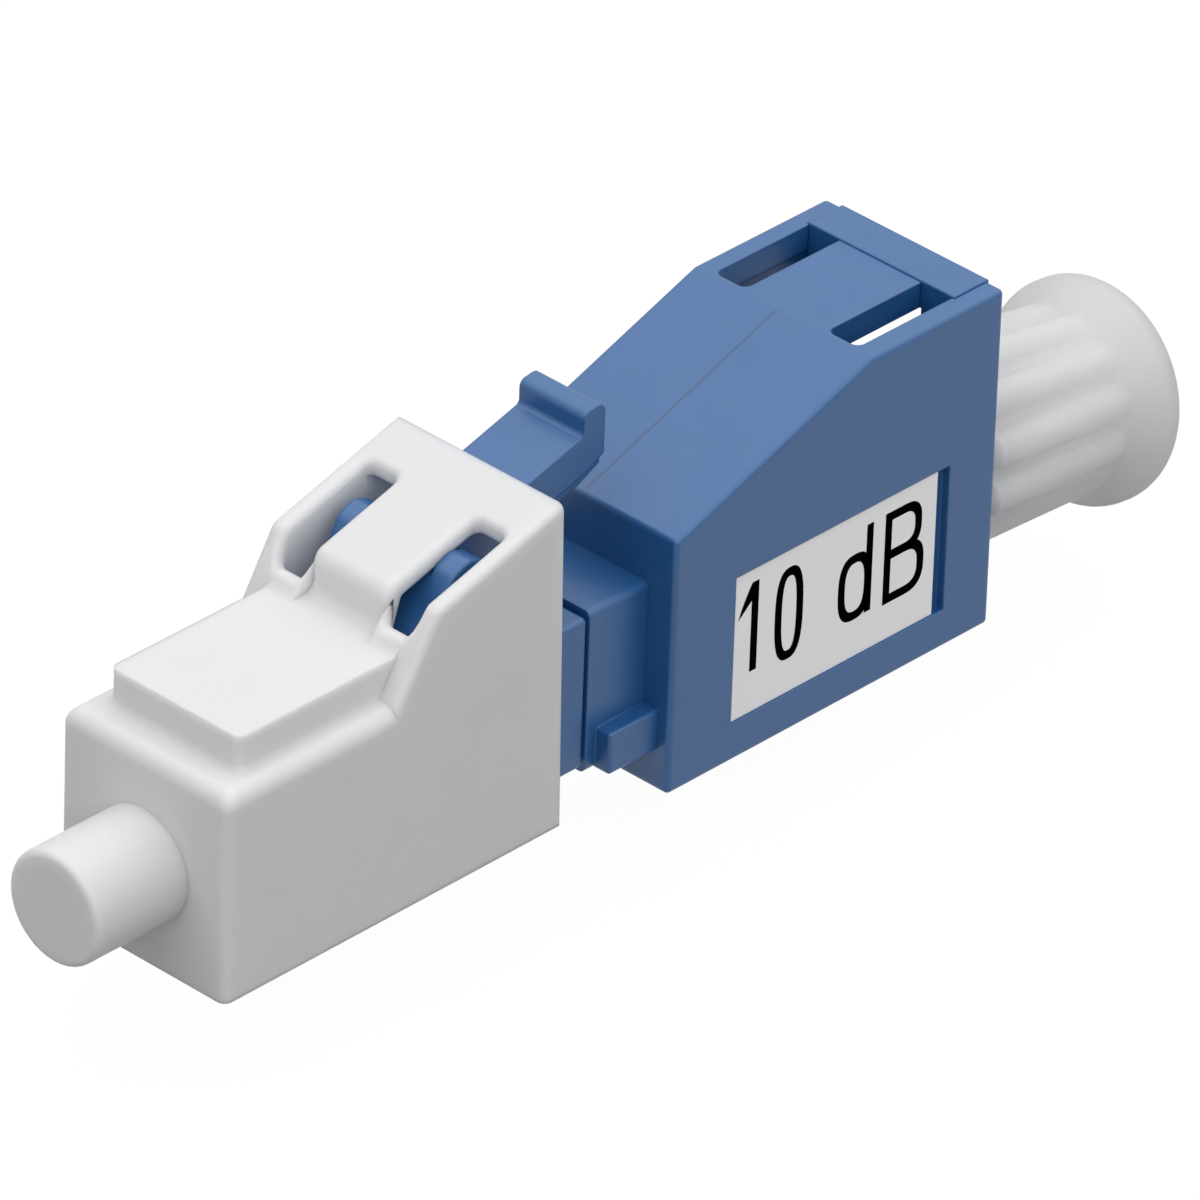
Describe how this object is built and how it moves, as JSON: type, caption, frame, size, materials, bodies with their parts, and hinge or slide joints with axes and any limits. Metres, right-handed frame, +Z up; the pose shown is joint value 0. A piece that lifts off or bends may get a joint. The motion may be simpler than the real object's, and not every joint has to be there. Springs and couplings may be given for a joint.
{
  "type": "fibre attenuator",
  "caption": "Plug-in fibre attenuator: a wedge-shaped blue housing with a receptacle and dust plug at one end and a latching plug under a dust cap at the other.",
  "frame": {"origin": "centre of the housing's flat underside", "axes": "+X along the fibre from the receptacle to the plug, +Z up to the latch, +Y to the labelled side"},
  "size_m": [0.0385, 0.0063, 0.0117],
  "materials": {
    "blue_plastic": "moulded blue thermoplastic, satin",
    "ivory_plastic": "moulded, matt",
    "ceramic": "white zirconia ceramic, polished",
    "glass_fibre": "doped silica, polished ends",
    "flange_metal": "turned stainless steel",
    "spring_steel": "drawn spring wire",
    "label_stock": "white printed label",
    "white_cap": "soft white moulding, matt",
    "milky_plug": "milky soft moulding, slightly glossy"
  },
  "bodies": {
    "housing": {"outer_shell": "blue_plastic", "receptacle_insert": "blue_plastic", "sleeve_holder_port": "ivory_plastic", "sleeve_holder_plug": "ivory_plastic", "split_sleeve": "ceramic", "float_spring": "spring_steel", "plug_collar": "blue_plastic", "plug_frame": "blue_plastic", "rating_label": "label_stock"},
    "ferrule_group": {"ferrule": "ceramic", "doped_fibre": "glass_fibre", "ferrule_flange": "flange_metal"},
    "latch": {"latch_lever": "blue_plastic"},
    "plug_cap": {"front_dust_cap": "white_cap"},
    "port_plug": {"rear_dust_plug": "milky_plug"}
  },
  "joints": [
    {"name": "ferrule_float", "type": "slide", "parent": "housing", "child": "ferrule_group", "axis": [-1, 0, 0], "range_m": [0, 0.0005], "stiffness_N_per_m": 500, "deforming": ["float_spring"]},
    {"name": "latch_press", "type": "hinge", "parent": "housing", "child": "latch", "pos_m": [0.01804, 0, 0.00632], "axis": [0, -1, 0], "range_deg": [0, 7], "stiffness_Nm_per_rad": 0.2},
    {"name": "cap_pull", "type": "slide", "parent": "housing", "child": "plug_cap", "axis": [1, 0, 0], "range_m": [0, 0.014]},
    {"name": "port_plug_pull", "type": "slide", "parent": "housing", "child": "port_plug", "axis": [-0.9879, -0.0103, -0.1547], "range_m": [0, 0.009]}
  ]
}
